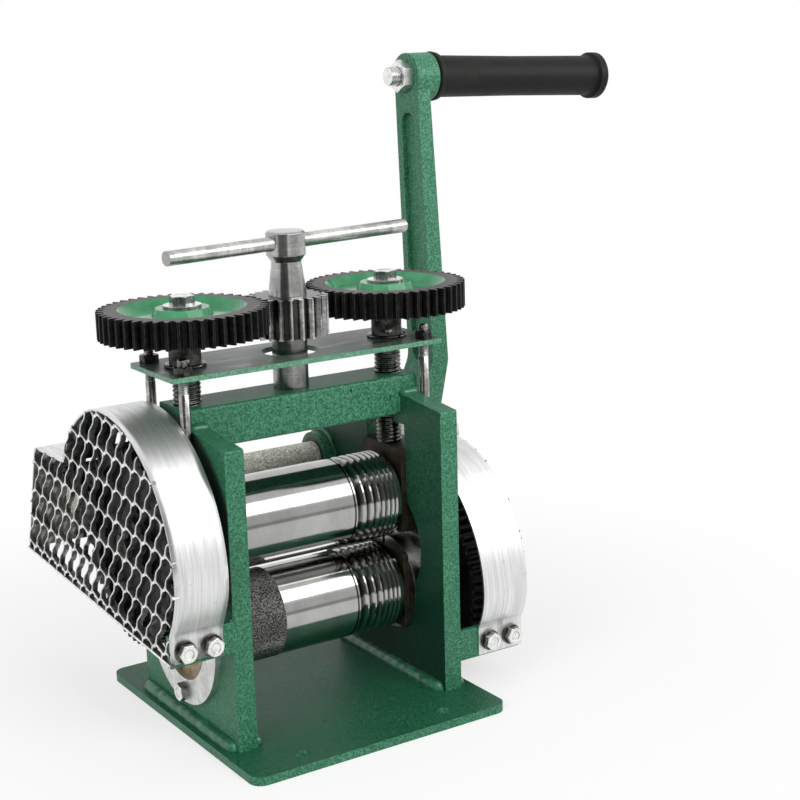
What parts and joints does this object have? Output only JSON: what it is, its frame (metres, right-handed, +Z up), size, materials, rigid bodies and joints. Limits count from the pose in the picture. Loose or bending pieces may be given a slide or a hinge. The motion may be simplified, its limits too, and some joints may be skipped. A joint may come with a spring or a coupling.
{
  "type": "jewellers rolling mill",
  "caption": "Hand cranked combination rolling mill with plain, knurled and wire grooved rolls, geared screw adjustment, side gear guards and a bolt-down base.",
  "frame": {"origin": "middle of the base plate's underside", "axes": "+X along the rolls towards the crank, -Y the feed side, +Z up"},
  "size_m": [0.4327, 0.2455, 0.3895],
  "materials": {
    "green_hammer_paint": "hammered gloss paint",
    "black_gear_iron": "black painted or oxided teeth",
    "black_oxide_steel": "black oxide, oily",
    "ground_roll_steel": "ground and polished",
    "turned_steel": "turned",
    "zinc_fastener": "zinc plated",
    "guard_aluminium": "scuffed mill finish",
    "bearing_bronze": "dull, oily",
    "grip_rubber": "satin"
  },
  "bodies": {
    "frame": {"base_plate": "green_hammer_paint", "side_frame_left": "green_hammer_paint", "side_frame_right": "green_hammer_paint", "top_beam": "green_hammer_paint", "lower_bearing_rings": "ground_roll_steel", "lower_bearing_left": "bearing_bronze", "lower_bearing_right": "bearing_bronze", "keeper_plates": "turned_steel", "keeper_bolts": "zinc_fastener", "shaft_bosses": "green_hammer_paint", "shaft_bushes": "bearing_bronze", "idler_stud": "ground_roll_steel", "idler_fasteners": "zinc_fastener", "guard_band_left": "guard_aluminium", "guard_band_right": "guard_aluminium", "guard_mesh_left": "guard_aluminium", "guard_mesh_right": "guard_aluminium", "guard_tabs_left": "green_hammer_paint", "guard_tabs_right": "green_hammer_paint", "guard_bolts_left": "zinc_fastener", "guard_bolts_right": "zinc_fastener"},
    "crank": {"cross_shaft": "turned_steel", "drive_pinion_left": "black_gear_iron", "drive_pinion_right": "black_gear_iron", "pinion_set_screws": "black_oxide_steel", "crank_shaft_keys": "black_oxide_steel", "crank_arm": "green_hammer_paint", "crank_hub_fasteners": "zinc_fastener", "grip_spindle": "turned_steel", "grip_fasteners": "zinc_fastener"},
    "grip": {"grip_sleeve": "grip_rubber"},
    "idler": {"idler_gear": "black_gear_iron"},
    "lower_roll_unit": {"lower_roll": "ground_roll_steel", "lower_roll_gear": "black_gear_iron", "lower_roll_key": "black_oxide_steel", "lower_roll_end_bolt": "zinc_fastener"},
    "upper_carriage": {"upper_block_left": "bearing_bronze", "upper_block_right": "bearing_bronze", "lift_bar_left": "black_oxide_steel", "lift_bar_right": "black_oxide_steel", "lift_bar_bolts": "black_oxide_steel", "lift_rods": "black_oxide_steel", "lift_rod_nuts": "black_oxide_steel", "lift_plate": "green_hammer_paint"},
    "upper_bushes": {"upper_roll_bushes": "bearing_bronze"},
    "upper_roll_unit": {"upper_roll": "ground_roll_steel", "upper_roll_gear": "black_gear_iron", "upper_roll_key": "black_oxide_steel", "upper_roll_end_bolt": "zinc_fastener"},
    "tee_handle": {"spindle_post": "turned_steel", "spindle_pinion": "turned_steel", "tee_head": "turned_steel", "tommy_bar": "turned_steel"},
    "screw_left": {"pressure_screw_left": "black_oxide_steel", "screw_gear_left": "black_gear_iron", "screw_gear_bolt_left": "zinc_fastener"},
    "screw_right": {"pressure_screw_right": "black_oxide_steel", "screw_gear_right": "black_gear_iron", "screw_gear_bolt_right": "zinc_fastener"}
  },
  "joints": [
    {"name": "crank_spin", "type": "hinge", "parent": "frame", "child": "crank", "pos_m": [0, 0.07759, 0.1285], "axis": [1, 0, 0], "continuous": true},
    {"name": "grip_spin", "type": "hinge", "parent": "crank", "child": "grip", "pos_m": [0.1654, 0.0905, 0.373], "axis": [0.9994, 0, -0.0349], "continuous": true},
    {"name": "idler_spin", "type": "hinge", "parent": "frame", "child": "idler", "pos_m": [0.1, 0.07354, 0.0867], "axis": [1, 0, 0], "continuous": true},
    {"name": "lower_roll_spin", "type": "hinge", "parent": "frame", "child": "lower_roll_unit", "pos_m": [0, 0, 0.0607], "axis": [1, 0, 0], "continuous": true},
    {"name": "roll_lift", "type": "slide", "parent": "frame", "child": "upper_carriage", "axis": [0, 0, 1], "range_m": [-0.0039, 0.0026]},
    {"name": "bush_float", "type": "hinge", "parent": "upper_carriage", "child": "upper_bushes", "pos_m": [0, 0, 0.1205], "axis": [1, 0, 0], "range_deg": [-2.62, 3.92]},
    {"name": "upper_roll_spin", "type": "hinge", "parent": "upper_bushes", "child": "upper_roll_unit", "pos_m": [0, 0, 0.1205], "axis": [1, 0, 0], "continuous": true},
    {"name": "tee_turn", "type": "hinge", "parent": "frame", "child": "tee_handle", "pos_m": [0, 0, 0.24], "axis": [0, 0, 1], "range_deg": [-800.05, 1199.98]},
    {"name": "screw_turn_left", "type": "hinge", "parent": "upper_carriage", "child": "screw_left", "pos_m": [-0.069, 0, 0.2], "axis": [0, 0, 1], "range_deg": [-561.7, 374.5]},
    {"name": "screw_turn_right", "type": "hinge", "parent": "upper_carriage", "child": "screw_right", "pos_m": [0.069, 0, 0.2], "axis": [0, 0, 1], "range_deg": [-561.7, 374.5]}
  ],
  "couplings": [
    {"joint": "idler_spin", "follows": "crank_spin", "ratio": -1},
    {"joint": "lower_roll_spin", "follows": "crank_spin", "ratio": 0.36842},
    {"joint": "upper_roll_spin", "follows": "crank_spin", "ratio": -0.36842},
    {"joint": "tee_turn", "follows": "roll_lift", "rad_per_m": -5369.3},
    {"joint": "bush_float", "follows": "roll_lift", "rad_per_m": -17.451},
    {"joint": "screw_turn_left", "follows": "roll_lift", "rad_per_m": 2513.3},
    {"joint": "screw_turn_right", "follows": "roll_lift", "rad_per_m": 2513.3}
  ]
}
